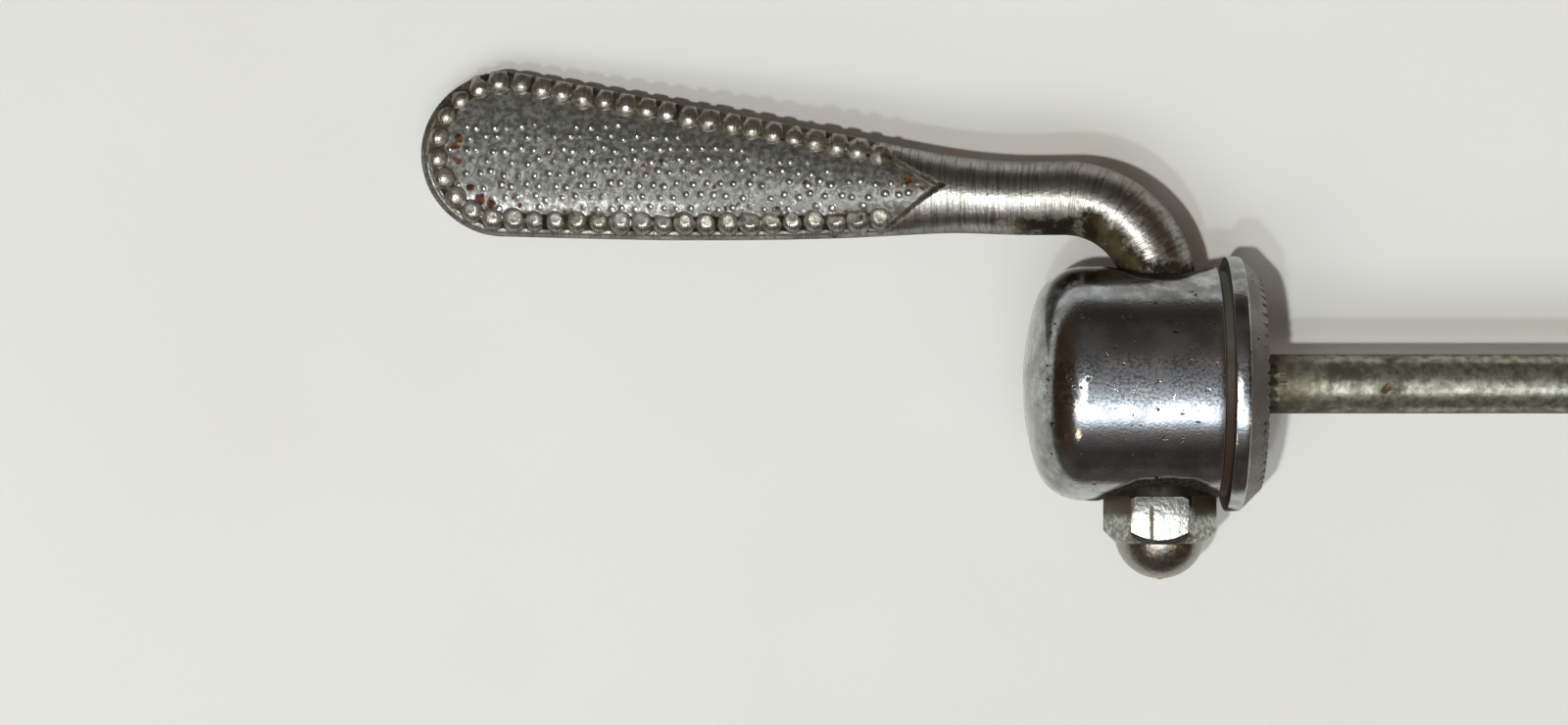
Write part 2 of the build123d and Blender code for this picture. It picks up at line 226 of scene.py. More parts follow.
def turned(name, profile, steps, start=(0, 0, 0), along=(1, 0, 0), out=(0, 0, 1)):
    """Spins a profile of points (distance along the axis, radius), in millimetres, into a closed body."""
    start, along, out = np.array(start, float), np.array(along, float), np.array(out, float)
    mesh = bpy.data.meshes.new(name)
    points = [tuple((start + along * distance + out * radius) * mm) for distance, radius in profile]
    mesh.from_pydata(points, [(index, index + 1) for index in range(len(points) - 1)], [])
    piece = placed(name, mesh)
    bpy.ops.object.mode_set(mode="EDIT")
    bpy.ops.mesh.select_all(action="SELECT")
    bpy.ops.mesh.spin(steps=steps, angle=2 * pi, center=tuple(start * mm), axis=tuple(along))
    bpy.ops.mesh.select_all(action="SELECT")
    bpy.ops.mesh.remove_doubles(threshold=1e-6)
    bpy.ops.mesh.normals_make_consistent(inside=False)
    bpy.ops.object.mode_set(mode="OBJECT")
    return piece


def arc(centre, radius, first, last, steps):
    """Points of a round stretch of a profile, by angle in degrees from the axis."""
    turns = [radians(first + (last - first) * step / steps) for step in range(steps + 1)]
    return [(centre[0] + radius * cos(turn), centre[1] + radius * sin(turn)) for turn in turns]


def cut(piece, other, operation="DIFFERENCE"):
    """Cuts, joins or crops one body with another, which is used up."""
    only(piece)
    modifier = piece.modifiers.new("cut", "BOOLEAN")
    modifier.object = other
    modifier.operation = operation
    modifier.solver = "EXACT"
    bpy.ops.object.modifier_apply(modifier=modifier.name)
    bpy.data.objects.remove(other)


def cut_teeth(piece, face, sign):
    """Slides every fourth point of the face's rim down the flange's cone, which leaves a ring of teeth."""
    only(piece)
    pitch = 2 * pi / (tooth_count * 4)
    bpy.ops.object.mode_set(mode="EDIT")
    bpy.ops.mesh.select_mode(type="VERT")
    bpy.ops.mesh.select_all(action="DESELECT")
    bpy.ops.object.mode_set(mode="OBJECT")
    for point in piece.data.vertices:
        x, y, z = point.co / mm
        step = round(np.arctan2(y, z) / pitch)
        on_rim = abs(x - face) < 0.01 and abs(hypot(y, z) - face_radius) < 0.01
        point.select = on_rim and step % 4 == 0
    bpy.ops.object.mode_set(mode="EDIT")
    spread = tooth_radius / face_radius
    bpy.ops.transform.resize(value=(1, spread, spread), center_override=(0, 0, 0))
    bpy.ops.transform.translate(value=(sign * tooth_run * mm, 0, 0))
    bpy.ops.object.mode_set(mode="OBJECT")


def smooth(piece, degrees):
    """Smooth shading, with edges sharper than this left crisp."""
    only(piece)
    bpy.ops.object.shade_smooth_by_angle(angle=radians(degrees))


clamp_span = 110.0
tooth_count = 56
face_radius = 8.7
tooth_radius = 9.25
tooth_run = 0.54
flange = [
    (-2.84, 9.22), (-2.84, 10.26), (-2.80, 10.36), (-2.70, 10.40), (-1.78, 10.40), (-1.68, 10.38),
    (-1.60, 10.30), (-0.95, 9.66), (0.0, 8.70), (0.0, 6.80), (0.0, 6.25), (-0.20, 6.05),
]
barrel_radius = 9.55
bore_radius = 6.05
bore_end = -14.13
dome_end = -19.24
dome_radius = 22.5
dome_meets = 180 - 17.46
shoulder_radius = 4.0
shaft_x = -8.08
dome = arc((3.26, 0.0), dome_radius, 180, dome_meets, 16)
dome[0] = (dome_end, 0.0)
shoulder = arc((-14.388, 5.55), shoulder_radius, dome_meets, 90, 22)
barrel = [(x, barrel_radius) for x in (-13.0, -11.5, -10.0, -8.5, -7.0, -5.5, -4.2, -3.64)]
groove = [(-3.57, 9.53), (-3.54, 9.46), (-3.54, 9.24), (-3.50, 9.20), (-2.88, 9.20)]
bore = [(-4.0, bore_radius), (-9.0, bore_radius), (bore_end, bore_radius), (bore_end, 0.0)]
body = turned("housing_body", dome + shoulder[1:] + barrel + groove + flange + bore, tooth_count * 4)
cut_teeth(body, 0.0, -1)
hole = [(0, 0), (0, 3.6), (8.95, 3.6), (9.1, 3.72), (12.1, 6.72), (12.1, 0)]
cut(body, turned("hole", hole, 96, (shaft_x, 0, 0), (0, 1, 0)))
spot = [(0, 0), (0, 2.9), (7.95, 2.9), (7.95, 4.9), (8.05, 5.1), (13.0, 5.1), (13.0, 0)]
cut(body, turned("spot", spot, 96, (shaft_x, 0, 0), (0, -1, 0)))
smooth(body, 28)


def minus(tree, first, second):
    """The first value less the second."""
    return calc(tree, "SUBTRACT", first, second)


def swing(tree, pattern, gain):
    """A pattern's swing to either side of its middle, times a gain."""
    return times(tree, minus(tree, pattern, 0.5), gain)


def swayed(tree, place, scale, reach):
    """Places shifted unevenly by up to a reach in millimetres, so that what is drawn on them isn't round."""
    sway = add_node(tree, "ShaderNodeTexNoise", {"Vector": place, "Scale": scale, "Detail": 2.0})
    shift = vector_calc(tree, "MULTIPLY", sway.outputs["Color"], (reach * mm, reach * mm, reach * mm))
    return vector_calc(tree, "ADD", place, shift)


def distance_from(tree, place, axis, centre):
    """The distance, in millimetres, from a line along one axis through a centre."""
    parts = add_node(tree, "ShaderNodeSeparateXYZ", {0: place}).outputs
    shifts = [minus(tree, parts[index], centre[index] * mm) for index in range(3) if index != axis]
    squares = [times(tree, shift, shift) for shift in shifts]
    return calc(tree, "DIVIDE", calc(tree, "SQRT", plus(tree, *squares)), mm)


def specks(tree, place, scale, share, size):
    """Scattered round specks: one in some of the cells of a pattern with so many cells to the metre."""
    cells = add_node(tree, "ShaderNodeTexVoronoi", {"Vector": place, "Scale": scale})
    chance = add_node(tree, "ShaderNodeSeparateColor", {0: cells.outputs["Color"]}).outputs[0]
    near = ramp(tree, cells.outputs["Distance"], size * 0.55, size, 1.0, 0.0)
    return times(tree, near, calc(tree, "LESS_THAN", chance, share))


def finished(tree, colour, metal, gloss, normal=None, shine=0.5, edge=1.0):
    """Closes a metal finish with its shader: the shine of the dirt on it, and how bright it is edge on."""
    sockets = {"Base Color": colour, "Metallic": metal, "Roughness": gloss, "Specular IOR Level": shine}
    sockets["Specular Tint"] = (edge, edge * 0.98, edge * 0.93, 1)
    if normal is not None:
        sockets["Normal"] = normal
    shader = add_node(tree, "ShaderNodeBsdfPrincipled", sockets)
    add_node(tree, "ShaderNodeOutputMaterial", {"Surface": shader.outputs["BSDF"]})


def bumped(tree, height, strength, depth):
    """A surface relief from a pattern, with its depth in millimetres."""
    sockets = {"Height": height, "Strength": strength, "Distance": depth * mm}
    return add_node(tree, "ShaderNodeBump", sockets).outputs["Normal"]


def most(tree, first, *others):
    """The largest of several values."""
    for other in others:
        first = calc(tree, "MAXIMUM", first, other)
    return first


chrome, tree = new_finish("worn_chrome")
place = add_node(tree, "ShaderNodeTexCoord").outputs["Object"]
parts = add_node(tree, "ShaderNodeSeparateXYZ", {0: place}).outputs
haze = noise(tree, place, 420.0, 6.0, 0.65)
speckle = noise(tree, place, 4200.0, 3.0, 0.6)
uneven = swayed(tree, place, 2200.0, 0.8)
small_pits = specks(tree, uneven, 1500.0, share=0.16, size=0.26)
pits = most(tree, small_pits, specks(tree, uneven, 700.0, share=0.14, size=0.20))
before_flange = ramp(tree, parts[0], -2.86 * mm, -2.76 * mm, 1, 0)
in_groove = times(tree, ramp(tree, parts[0], -3.66 * mm, -3.56 * mm), before_flange)
from_shaft = distance_from(tree, place, 1, (shaft_x, 0, 0))
# Painted shade mixed with dirt: the chrome is darker round the lever's hole and round the spot face under the
# cap nut, where the parts meet.
at_hole = times(tree, ramp(tree, from_shaft, 3.7, 5.4, 1, 0), ramp(tree, parts[1], 6.5 * mm, 8.5 * mm))
at_spot = times(tree, ramp(tree, from_shaft, 5.2, 7.0, 1, 0), ramp(tree, parts[1], -6.2 * mm, -7.8 * mm))
dirt_and_shade = ramp(tree, plus(tree, most(tree, at_hole, at_spot), times(tree, haze, 0.9)), 0.70, 1.10)
dirt_and_shade = most(tree, dirt_and_shade, in_groove)
tint = mixed(tree, ramp(tree, haze, 0.40, 0.66), (0.505, 0.54, 0.565, 1), (0.30, 0.312, 0.322, 1))
# Painted shade and dust: the side towards the lever is darker, standing in for the shaded paper it reflects;
# the domed end gets dust.
dust_and_shade = most(tree, ramp(tree, parts[1], 5.0 * mm, 8.0 * mm), ramp(tree, parts[0], -15.5 * mm, -17.0 * mm))
dust_and_shade = times(tree, dust_and_shade, ramp(tree, noise(tree, place, 760.0, 5.0, 0.65), 0.30, 0.62))
on_top = ramp(tree, calc(tree, "ABSOLUTE", parts[1]), 2.9 * mm, 1.4 * mm, 0.12, 1.0)
spotted = times(tree, ramp(tree, speckle, 0.53, 0.42), ramp(tree, haze, 0.36, 0.52, 0.35, 0.95))
spotted = times(tree, spotted, on_top)
tint = mixed(tree, spotted, tint, (0.165, 0.178, 0.195, 1))
tint = mixed(tree, times(tree, dust_and_shade, 0.72), tint, (0.150, 0.145, 0.136, 1))
from_middle = calc(tree, "ABSOLUTE", minus(tree, parts[0], clamp_span / 2 * mm))
behind_face = ramp(tree, from_middle, 54.4 * mm, 54.8 * mm)
on_cone = times(tree, ramp(tree, from_middle, 56.72 * mm, 56.50 * mm), behind_face)
dull = times(tree, on_cone, ramp(tree, speckle, 0.30, 0.55, 0.55, 0.95))
tint = mixed(tree, dull, tint, (0.225, 0.213, 0.198, 1))
tint = mixed(tree, pits, tint, (0.045, 0.037, 0.03, 1))
soot_and_shade = mixed(tree, ramp(tree, speckle, 0.40, 0.60), (0.042, 0.032, 0.023, 1), (0.012, 0.008, 0.005, 1))
tint = mixed(tree, dirt_and_shade, tint, soot_and_shade)
ragged = swing(tree, haze, 12.0 * mm)
caked = ramp(tree, plus(tree, parts[1], ragged), -2.0 * mm, 5.0 * mm)
groove_tint = mixed(tree, caked, (0.050, 0.031, 0.023, 1), (0.100, 0.094, 0.082, 1))
tint = mixed(tree, in_groove, tint, groove_tint)
gloss = ramp(tree, haze, 0.35, 0.75, 0.09, 0.24)
gloss = plus(tree, gloss, times(tree, most(tree, pits, dirt_and_shade, on_cone), 0.4))
metal = minus(tree, 1.0, times(tree, dirt_and_shade, 0.8))
lumps = plus(tree, speckle, times(tree, haze, 0.6))
relief = bumped(tree, minus(tree, lumps, pits), strength=0.42, depth=0.030)
finished(tree, tint, metal, gloss, relief, shine=minus(tree, 0.5, times(tree, dirt_and_shade, 0.42)))
body.data.materials.append(chrome)
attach(body, "housing")
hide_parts("housing")

# Skewer rod: drawn steel rod, zinc plated, with a flat head and eye on the cam and a thread rolled on its
# far end. The head is inside the housing, and the adjusting nut is screwed on the thread.
rod_radius = 2.425
thread_start = 94.0
thread_pitch = 0.8
rod_end = 126.5
thread_depth = 0.46
thread_run_in = 1.5
head = placed("rod_head", bpy.data.objects["skewer_rod"].data.copy())
head.data.materials.clear()
bpy.ops.object.mode_set(mode="EDIT")
bpy.ops.mesh.select_all(action="SELECT")
bpy.ops.mesh.remove_doubles(threshold=1e-6)
bpy.ops.mesh.select_all(action="SELECT")
bpy.ops.mesh.bisect(plane_co=(2 * mm, 0, 0), plane_no=(1, 0, 0), use_fill=True, clear_outer=True)
bpy.ops.object.mode_set(mode="OBJECT")
smooth(head, 32)
bar = [(1.5, 0.0), (1.5, rod_radius)] + [(x, rod_radius) for x in np.linspace(6, thread_start - 0.1, 24)]
bar += [(x, rod_radius) for x in np.linspace(thread_start, rod_end - 0.6, 320)]
bar += [(rod_end - 0.3, rod_radius - 0.2), (rod_end, rod_radius - 0.5), (rod_end, 0.0)]
rod = turned("skewer_bar", bar, 48)
for point in rod.data.vertices:
    x, y, z = point.co / mm
    reach = hypot(y, z)
    if x > thread_start and reach > 1.0:
        turn = ((x / thread_pitch - np.arctan2(z, y) / (2 * pi)) % 1.0) * 2 - 1
        flank = max(0.0, min(1.0, 1.25 * abs(turn) - 0.12))
        depth = min(1.0, (x - thread_start) / thread_run_in) * thread_depth * flank
        point.co.y *= min(reach, rod_radius - depth) / reach
        point.co.z *= min(reach, rod_radius - depth) / reach
smooth(rod, 50)
only(rod)
head.select_set(True)
bpy.ops.object.join()

zinc, tree = new_finish("stained_zinc")
place = add_node(tree, "ShaderNodeTexCoord").outputs["Object"]
parts = add_node(tree, "ShaderNodeSeparateXYZ", {0: place}).outputs
cloud = noise(tree, place, 300.0, 5.0, 0.62)
grain = noise(tree, place, 1500.0, 4.0, 0.6)
stain = ramp(tree, cloud, 0.50, 0.66)
rust = ramp(tree, noise(tree, place, 150.0, 6.0, 0.7), 0.66, 0.74)
mark = vector_calc(tree, "DISTANCE", place, (9.9 * mm, -0.4 * mm, 2.4 * mm))
mark = plus(tree, mark, swing(tree, grain, 3.4 * mm))
rust = most(tree, rust, ramp(tree, mark, 0.80 * mm, 0.10 * mm))
near_body = ramp(tree, parts[0], 1.0 * mm, 7.0 * mm, 0.75, 0.0)
tint = mixed(tree, ramp(tree, grain, 0.35, 0.65), (0.42, 0.416, 0.35, 1), (0.21, 0.206, 0.160, 1))
tint = mixed(tree, stain, tint, (0.095, 0.090, 0.064, 1))
tint = mixed(tree, near_body, tint, (0.085, 0.066, 0.036, 1))
tint = mixed(tree, rust, tint, (0.058, 0.030, 0.014, 1))
gloss = plus(tree, ramp(tree, cloud, 0.3, 0.7, 0.24, 0.37), times(tree, near_body, 0.3))
metal = minus(tree, 0.84, times(tree, most(tree, stain, rust, near_body), 0.40))
relief = bumped(tree, grain, strength=0.40, depth=0.05)
finished(tree, tint, metal, gloss, relief, shine=0.35, edge=0.18)
rod.data.materials.append(zinc)
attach(rod, "rod")
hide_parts("skewer_rod")

# Lever: shaft, bent arm and paddle forged in one, ground along the arm and nickelled, now worn dull.
# The paddle's upper face has a beaded border round a sunk field with a pointed end and small raised dots.
# The plan is measured as a reach from the shaft's axis and an offset along the shaft.
droop = radians(8.1416)
bend_radius = 7.85
arm_offset = 15.2
arm_radius = 3.02
tip_reach = 54.55
tip_offset = 19.1
tip_radius = 6.8
round_start = 53.25
low_edge = np.array([
    (7.0, 12.18), (11.5, 12.18), (13.9, 12.28), (16.3, 12.40), (18.8, 12.36), (21.2, 12.25), (26.0, 12.04),
    (33.0, 11.91), (41.0, 11.93), (48.0, 12.10), (54.55, 12.30), (60.0, 12.55),
])
high_edge = np.array([
    (7.0, 18.22), (11.5, 18.22), (13.9, 18.33), (16.3, 18.62), (18.8, 19.00), (21.2, 19.48), (26.1, 20.42),
    (33.4, 21.86), (40.8, 23.28), (48.2, 24.74), (53.2, 25.75), (60.0, 27.05),
])


def eased(edge, reach):
    """An edge of the paddle through its measured points, rounded where they turn."""
    shifts = np.linspace(-1.5, 1.5, 13)
    return np.mean([np.interp(reach + shift, edge[:, 0], edge[:, 1]) for shift in shifts], axis=0)


def step_up(value, first, last):
    """Rises smoothly from 0 to 1 between two values."""
    share = np.clip((value - first) / (last - first), 0, 1)
    return share * share * (3 - 2 * share)


def paddle_edges(reach):
    """The two edges of the lever's plan at a reach: nearly straight ones, then the round tip."""
    round_part = np.sqrt(np.clip(tip_radius**2 - (reach - tip_reach) ** 2, 0, None))
    low = np.where(reach > tip_reach, tip_offset - round_part, eased(low_edge, reach))
    high = np.where(reach > round_start, tip_offset + round_part, eased(high_edge, reach))
    return low, high


# The border of the plan as one run of points, round the tip, with its inward direction
run_low = np.linspace(14.0, tip_reach, 420)
run_high = np.linspace(round_start, 14.0, 420)
round_tip = np.radians(np.linspace(-89.5, 100.5, 240))
border = np.concatenate([
    np.column_stack([run_low, paddle_edges(run_low)[0]]),
    np.column_stack([
        tip_reach + tip_radius * np.cos(round_tip),
        tip_offset + tip_radius * np.sin(round_tip),
    ]),
    np.column_stack([run_high, paddle_edges(run_high)[1]]),
])
heading = np.gradient(border, axis=0)
heading /= np.linalg.norm(heading, axis=1)[:, None]
inward = np.column_stack([-heading[:, 1], heading[:, 0]])

# Beads: a row of balls set along the border, a little closer to the upper edge and further in round the tip
bead_count = 46
bead_radius = 1.26
bead_sink = 0.96
bead_start = 22.75
row_inset = 0.98
row_shift = 0.24
row_shift_at_tip = 0.45
row_place = row_inset + row_shift * inward[:, 1] + row_shift_at_tip * np.clip(-inward[:, 0], 0, 1)
bead_row = border + inward * row_place[:, None]
bead_row = bead_row[bead_row[:, 0] > bead_start]
length = np.concatenate([[0], np.cumsum(np.linalg.norm(np.diff(bead_row, axis=0), axis=1))])
stops = np.linspace(0, length[-1], bead_count)
beads = np.column_stack([np.interp(stops, length, bead_row[:, axis]) for axis in (0, 1)])


# The crown starts as round as the arm and grows flatter and lower towards the end
crown_start, lever_end = 16.0, 61.35
crown_top, crown_fall = 2.9, 1.25
crown_radius, crown_growth = 3.0, 23.0


def crown_height(reach, offset):
    """The height of the crowned upper face over the lever's middle plane, without its relief."""
    low, high = paddle_edges(np.minimum(reach, 61.0))
    middle = (eased(low_edge, reach) + eased(high_edge, reach)) / 2
    middle = middle + (tip_offset - middle) * step_up(reach, 48.0, 56.0)
    share = (reach - crown_start) / (lever_end - crown_start)
    radius = np.maximum(crown_radius + crown_growth * share, (high - low) / 2 * 1.04)
    across = np.minimum(np.abs(offset - middle), radius * 0.97)
    return crown_top - crown_fall * share - radius + np.sqrt(radius**2 - across**2)


def border_distance(reach, offset, line=border):
    """The distance in the plan from each point to the border, or to another line."""
    spots = np.column_stack([reach.ravel(), offset.ravel()])
    result = np.empty(len(spots))
    batch = 1500
    for first in range(0, len(spots), batch):
        part = spots[first : first + batch, None, :] - line[None, :, :]
        result[first : first + batch] = np.sqrt((part**2).sum(axis=2).min(axis=1))
    return result.reshape(reach.shape)


# Stations along the paddle and points round each section: upper face, wall, lower face, wall
arm_end = 15.0
tip_turns = np.linspace(np.arcsin((round_start - tip_reach) / tip_radius), radians(88.4), 96)
stations = np.concatenate([
    np.arange(bend_radius, arm_end, 0.3),
    np.arange(arm_end, round_start, 0.115),
    tip_reach + tip_radius * np.sin(tip_turns),
])
upper_count, wall_count, lower_count = 124, 4, 30
upper = np.linspace(-1, 1, upper_count)
lower = np.linspace(1, -1, lower_count)
wall = np.linspace(1, -1, wall_count + 2)[1:-1]
round_turns = np.radians(np.concatenate([80 * upper, 90 - 10 * wall, 180 - 80 * lower, 270 - 10 * wall]))
section_size = len(round_turns)

low, high = paddle_edges(stations)
middle, half = ((high + low) / 2)[:, None], ((high - low) / 2)[:, None]
reach = stations[:, None]
blend = step_up(reach, 13.0, 27.0)
thick = arm_radius - 0.1 * step_up(reach, 12.0, 18.0)
round_y = middle + half * np.sin(round_turns)
round_z = thick * np.cos(round_turns)

# Upper and lower face: the crown with a rounded rim
rim = 0.62


def rim_drop(inset):
    """How far a face lies under its crown, at an inset from its edge."""
    return rim - np.sqrt(rim**2 - (rim - np.minimum(inset, rim)) ** 2)


face_y = middle + half * upper
face_reach = np.broadcast_to(reach, face_y.shape)
face_z = crown_height(face_reach, face_y) - rim_drop(border_distance(face_reach, face_y))
base_y = middle + half * lower
base_reach = np.broadcast_to(reach, base_y.shape)
base_z = -crown_height(base_reach, base_y) + rim_drop(border_distance(base_reach, base_y))
top_edge, low_wall_edge = face_z[:, -1:], face_z[:, :1]
wall_bulge = 0.08
bulge = wall_bulge * (1 - wall**2)
flat_y = np.concatenate([face_y, middle + half + bulge, base_y, middle - half - bulge], axis=1)
flat_z = np.concatenate([face_z, top_edge * wall, base_z, -low_wall_edge * wall], axis=1)
section_y = round_y + (flat_y - round_y) * blend
section_z = round_z + (flat_z - round_z) * blend

# Relief of the upper face: channel, beads, sunk field and raised dots
point_reach, point_offset = 17.5, 16.2


def past_point(reach, offset):
    """How far a place lies inside the field's pointed end, from the nearer of the point's two sides."""
    to_low_side = ((reach - point_reach) * 3.1 + (offset - point_offset) * 4.1) / 5.14
    to_high_side = ((reach - point_reach) * 2.4 - (offset - point_offset) * 4.4) / 5.01
    return np.minimum(to_low_side, to_high_side)


face = section_z[:, :upper_count]
face_y = section_y[:, :upper_count]
inset = border_distance(face_reach, face_y)
in_point = past_point(face_reach, face_y)
at_point = step_up(face_reach, 24.0, 22.0)
at_tip = np.clip((face_reach - tip_reach) / tip_radius, 0, 1)
to_row = inset - row_shift_at_tip * at_tip
in_field = step_up(to_row, 0.8 - 0.4 * at_point, 1.5 - 0.5 * at_point)
in_field = np.minimum(in_field, step_up(in_point, -0.05, 0.40))
channel = step_up(to_row, 0.15, 0.6) * step_up(to_row, 1.9, 1.3) * step_up(face_reach, 21.4, 22.2)
depth = 0.15 + 0.22 * step_up(face_reach, 26.0, 19.0)
floor = face - np.maximum(depth * in_field, 0.14 * channel)
rng = np.random.default_rng(11)
first_dot, dots_end = 18.4, 59.0
first_row = 12.4
dot_pitch = 1.17
row_pitch = 1.0
row_stagger = 0.58
dot_stray = 0.23
dots = []
for row in range(16):
    for column in range(42):
        stagger = (row % 2) * row_stagger
        spot_reach = first_dot + column * dot_pitch + stagger + rng.uniform(-dot_stray, dot_stray)
        spot_y = first_row + row * row_pitch + rng.uniform(-dot_stray, dot_stray)
        size, rise, chance = rng.uniform(0.20, 0.28), rng.uniform(0.06, 0.14), rng.uniform()
        dots.append((spot_reach, spot_y, size, rise, chance))
dots = np.array(dots)
spots = dots[:, :2]
dot_inset = border_distance(spots[:, :1], spots[:, 1:])[:, 0]
dot_edges = paddle_edges(spots[:, 0])
bare_band = 0.25 + 1.3 * step_up(spots[:, 0], 44.0, 52.0)
border_width = 2.2
missing_share = 0.04
kept = (dot_inset > border_width) & (past_point(spots[:, 0], spots[:, 1]) > 0.35)
kept &= dots[:, 4] > missing_share
kept &= dot_edges[1] - spots[:, 1] > border_width + bare_band
kept &= (spots[:, 1] > dot_edges[0]) & (spots[:, 1] < dot_edges[1]) & (spots[:, 0] < dots_end)
dot_rise = np.zeros(face.shape)
for spot_reach, spot_y, size, rise in dots[kept, :4]:
    near = slice(*np.searchsorted(stations, (spot_reach - 0.5, spot_reach + 0.5)))
    far = ((face_reach[near] - spot_reach) ** 2 + (face_y[near] - spot_y) ** 2) / size**2
    dot_rise[near] = np.maximum(dot_rise[near], rise * np.sqrt(np.clip(1 - far, 0, None)))
floor = floor + dot_rise
no_bead = -9.0
bead_stray = 0.06
probe = 0.1
rubbed_below = tip_offset - 4.5
ball = np.full(face.shape, no_bead)
wear = np.random.default_rng(5)
for bead_reach, bead_y in beads + rng.uniform(-bead_stray, bead_stray, beads.shape):
    bead_size = bead_radius * rng.uniform(0.94, 1.05)
    near = slice(*np.searchsorted(stations, (bead_reach - 1.0, bead_reach + 1.0)))
    nearby = crown_height(bead_reach + np.array([0, probe, 0]), bead_y + np.array([0, 0, probe]))
    upright = np.array([(nearby[0] - nearby[1]) / probe, (nearby[0] - nearby[2]) / probe, 1.0])
    upright /= np.linalg.norm(upright)
    low_reach, low_y, height = np.array([bead_reach, bead_y, nearby[0]]) - bead_sink * upright
    far = (face_reach[near] - low_reach) ** 2 + (face_y[near] - low_y) ** 2
    lift = height + np.sqrt(np.clip(bead_size**2 - far, 0, None))
    lean_reach, lean_y, rubbed = wear.uniform((-0.10, -0.16, 0.01), (0.10, 0.02, 0.08))
    if bead_y < rubbed_below:
        flat_top = height + bead_size * upright[2] - rubbed
        flat_top = flat_top + (face_reach[near] - bead_reach) * lean_reach
        flat_top = flat_top + (face_y[near] - bead_y) * lean_y
        lift = np.minimum(lift, flat_top)
    ball[near] = np.maximum(ball[near], np.where(far < bead_size**2, lift, no_bead))
section_z[:, :upper_count] = np.maximum(floor, ball)

# The beads stand a little over the paddle's edges, which leaves the edges scalloped
scallop_out, scallop_in = 0.14, 0.03
faded_columns = 8
for column, side, walls in (
    (upper_count - 1, 1, range(upper_count, upper_count + wall_count)),
    (0, -1, range(section_size - wall_count, section_size)),
):
    scallop = scallop_out * step_up(ball[:, column] - floor[:, column], -0.3, 0.2) - scallop_in
    scallop *= step_up(stations, 21.0, 24.0) * step_up(stations, 60.5, 58.0)
    for back in range(faded_columns):
        section_y[:, column - side * back] += side * scallop * (1 - back / faded_columns)
    for wall_column in walls:
        section_y[:, wall_column] += side * scallop * 0.6

# Wear and painted shade, kept with the points: grime between the beads, in the field's corners and in the
# bend, and painted shade on the paddle's rim and side walls and where the arm goes into the housing
on_ball = step_up(ball - floor, 0.0, 0.16)
grime_and_shade = np.zeros(section_z.shape)
foot = 1 - step_up(ball - floor, 0.02, 0.22)
off_row = border_distance(face_reach, face_y, bead_row)
high_side = step_up(face_y - middle, -1.0, 1.0)
# Painted shade: the rim outside the beads is darkened, most on the upper side, standing in for the shaded
# paper it reflects.
rim_shade = (0.42 + 0.48 * high_side) * (1 - 0.40 * at_tip)
beside_beads = np.maximum(0.92 * step_up(off_row, 0.80, 0.50), rim_shade * step_up(to_row, 0.75, 0.50))
beside_beads *= step_up(face_reach, 21.4, 22.6)
grime_and_shade[:, :upper_count] = np.maximum(beside_beads * foot, 0.45 * in_field * step_up(to_row, 2.8, 2.1))
at_edge = step_up(np.abs(in_point - 0.1), 0.55, 0.05) * step_up(face_reach, 24.5, 22.0)
grime_and_shade[:, :upper_count] = np.maximum(grime_and_shade[:, :upper_count], 0.72 * at_edge)
# Painted shade: the side walls are darkened, the upper one more, standing in for the shaded paper they
# reflect.
wall_shade = step_up(reach, 17.0, 26.0) * (1 - 0.5 * step_up(reach, 50.0, 60.0))
grime_and_shade[:, upper_count : upper_count + wall_count] = 0.70 * wall_shade
grime_and_shade[:, section_size - wall_count :] = 0.45 * wall_shade
field_soil = (0.16 + 0.26 * step_up(face_reach, 26.0, 20.0)) * in_field
grime_and_shade[:, :upper_count] = np.maximum(grime_and_shade[:, :upper_count], field_soil)
# Reach, offset and size of the patches of rust
rust_spots = (
    (58.0, 20.4, 0.55), (58.4, 19.7, 0.45), (58.2, 18.5, 0.4), (57.1, 16.2, 0.5), (56.4, 15.3, 0.6),
    (55.4, 14.9, 0.45), (53.0, 14.8, 0.3), (20.4, 16.7, 0.42), (21.4, 16.9, 0.28), (19.2, 16.0, 0.30),
    (36.5, 16.2, 0.25), (41.0, 18.4, 0.22), (31.2, 14.4, 0.3),
)
rust_patch = np.zeros(section_z.shape)
for spot_reach, spot_y, size in rust_spots:
    far = np.hypot(face_reach - spot_reach, face_y - spot_y) / size
    rust_patch[:, :upper_count] = np.maximum(rust_patch[:, :upper_count], step_up(far, 1.5, 0.2))
rust_patch[:, :upper_count] *= 1 - 0.8 * on_ball
bead_share = np.zeros(section_z.shape)
bead_share[:, :upper_count] = on_ball
rub = np.zeros(section_z.shape)
low_part = 0.44 * in_field * step_up(face_y - low[:, None], 5.4, 2.4) * step_up(face_reach, 20.0, 26.0)
low_part *= 0.72 + 0.28 * step_up(face_reach, 34.0, 42.0)
rub[:, :upper_count] = np.maximum(step_up(dot_rise, 0.04, 0.10), 0.25 * step_up(ball - floor, 0.12, 0.34))
rub[:, :upper_count] = np.maximum(rub[:, :upper_count], low_part)
field_share = np.zeros(section_z.shape)
tip_rim = 0.85 * step_up(at_tip, 0.0, 0.35) * step_up(to_row, 0.65, 0.35)
field_share[:, :upper_count] = np.maximum(in_field, tip_rim)
arm_grime = step_up(np.sin(round_turns), -0.15, -0.75)[None, :] * step_up(reach, 17.0, 9.0) * 0.80
grime_and_shade = np.maximum(grime_and_shade, arm_grime)

